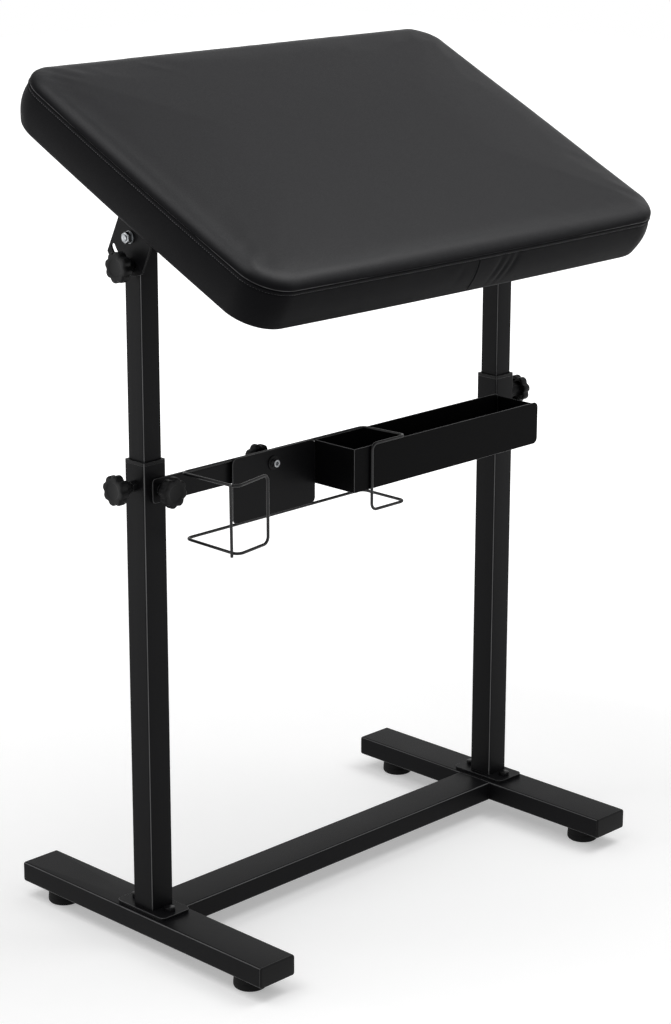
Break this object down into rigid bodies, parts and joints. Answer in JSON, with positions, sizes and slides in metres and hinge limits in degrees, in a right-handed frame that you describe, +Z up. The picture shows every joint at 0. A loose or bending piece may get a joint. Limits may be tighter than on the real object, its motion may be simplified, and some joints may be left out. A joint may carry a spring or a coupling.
{
  "type": "tattoo arm rest stand",
  "caption": "Free-standing H-base stand with telescopic uprights, a padded rest that tilts, and a swinging side holder with a tool tray and wire bottle cages.",
  "frame": {"origin": "on the floor, at the bottom centre of the stand's bounding box at rest; the uprights stand 14 mm behind it", "axes": "+X along the pad to the right upright, +Y to the back, where the pad's high edge is, +Z up"},
  "size_m": [0.777, 0.4957, 1.1331],
  "materials": {
    "black_paint": "satin",
    "black_wire": "satin",
    "zinc": "satin",
    "black_bolt": "satin",
    "black_plastic": "matte",
    "black_rubber": "matte",
    "black_vinyl": "satin",
    "plywood": "matte"
  },
  "bodies": {
    "base": {"cross_tube": "black_paint", "base_bolts": "black_bolt", "base_nuts": "zinc", "foot_bar_left": "black_paint", "base_plate_left": "black_paint", "lower_post_left": "black_paint", "post_bush_left": "black_plastic", "clamp_nut_left": "black_paint", "end_cap_front_left": "black_plastic", "rubber_foot_front_left": "black_rubber", "end_cap_back_left": "black_plastic", "rubber_foot_back_left": "black_rubber", "foot_bar_right": "black_paint", "base_plate_right": "black_paint", "lower_post_right": "black_paint", "post_bush_right": "black_plastic", "clamp_nut_right": "black_paint", "end_cap_front_right": "black_plastic", "rubber_foot_front_right": "black_rubber", "end_cap_back_right": "black_plastic", "rubber_foot_back_right": "black_rubber"},
    "uprights": {"upper_post_left": "black_paint", "post_cap_left": "black_plastic", "post_shoe_left": "black_plastic", "upper_post_right": "black_paint", "post_cap_right": "black_plastic", "post_shoe_right": "black_plastic", "pivot_bolts": "zinc", "pivot_washers": "zinc", "pivot_nuts": "zinc", "tilt_nuts": "zinc"},
    "padded_rest": {"tilt_bracket_left": "black_paint", "tilt_bracket_right": "black_paint", "pad_screws": "zinc", "pad_board": "plywood", "pad_cushion": "black_vinyl"},
    "height_clamp_left": {"height_knob_left": "black_plastic", "height_stud_left": "zinc"},
    "tilt_clamp_left": {"tilt_knob_left": "black_plastic", "tilt_stud_left": "zinc"},
    "height_clamp_right": {"height_knob_right": "black_plastic", "height_stud_right": "zinc"},
    "tilt_clamp_right": {"tilt_knob_right": "black_plastic", "tilt_stud_right": "zinc"},
    "swing_arm": {"holder_arm": "black_paint", "arm_washer": "zinc"},
    "arm_clamp": {"arm_knob": "black_plastic", "arm_stud": "zinc"},
    "holder": {"holder_plate": "black_paint", "tool_tray": "black_paint", "wire_rack": "black_wire", "guard_rod": "black_wire", "holder_bolt": "zinc", "holder_washer": "black_plastic", "holder_spacer": "black_plastic", "knob_washer": "black_plastic"},
    "holder_clamp": {"holder_knob": "black_plastic", "holder_knob_insert": "zinc"}
  },
  "joints": [
    {"name": "height_slide", "type": "slide", "parent": "base", "child": "uprights", "axis": [0, 0, 1], "range_m": [-0.15, 0.15]},
    {"name": "pad_tilt", "type": "hinge", "parent": "uprights", "child": "padded_rest", "pos_m": [0, 0.014, 0.945], "axis": [1, 0, 0], "range_deg": [-64, 12]},
    {"name": "arm_swing", "type": "hinge", "parent": "base", "child": "swing_arm", "pos_m": [-0.3255, -0.006, 0.624], "axis": [0, -1, 0], "range_deg": [-30, 2]},
    {"name": "holder_turn", "type": "hinge", "parent": "swing_arm", "child": "holder", "pos_m": [-0.1365, -0.006, 0.624], "axis": [0, -1, 0], "range_deg": [-10, 8]},
    {"name": "height_knob_turn_left", "type": "hinge", "parent": "base", "child": "height_clamp_left", "pos_m": [-0.3695, 0.014, 0.63], "axis": [-1, 0, 0], "continuous": true},
    {"name": "tilt_knob_turn_left", "type": "hinge", "parent": "uprights", "child": "tilt_clamp_left", "pos_m": [-0.3585, 0.014, 0.91], "axis": [-1, 0, 0], "continuous": true},
    {"name": "height_knob_turn_right", "type": "hinge", "parent": "base", "child": "height_clamp_right", "pos_m": [0.3695, 0.014, 0.63], "axis": [1, 0, 0], "continuous": true},
    {"name": "tilt_knob_turn_right", "type": "hinge", "parent": "uprights", "child": "tilt_clamp_right", "pos_m": [0.3585, 0.014, 0.91], "axis": [1, 0, 0], "continuous": true},
    {"name": "arm_knob_turn", "type": "hinge", "parent": "base", "child": "arm_clamp", "pos_m": [-0.3255, -0.017, 0.624], "axis": [0, -1, 0], "continuous": true},
    {"name": "holder_knob_turn", "type": "hinge", "parent": "holder", "child": "holder_clamp", "pos_m": [-0.1365, 0.009, 0.624], "axis": [0, 1, 0], "continuous": true}
  ]
}
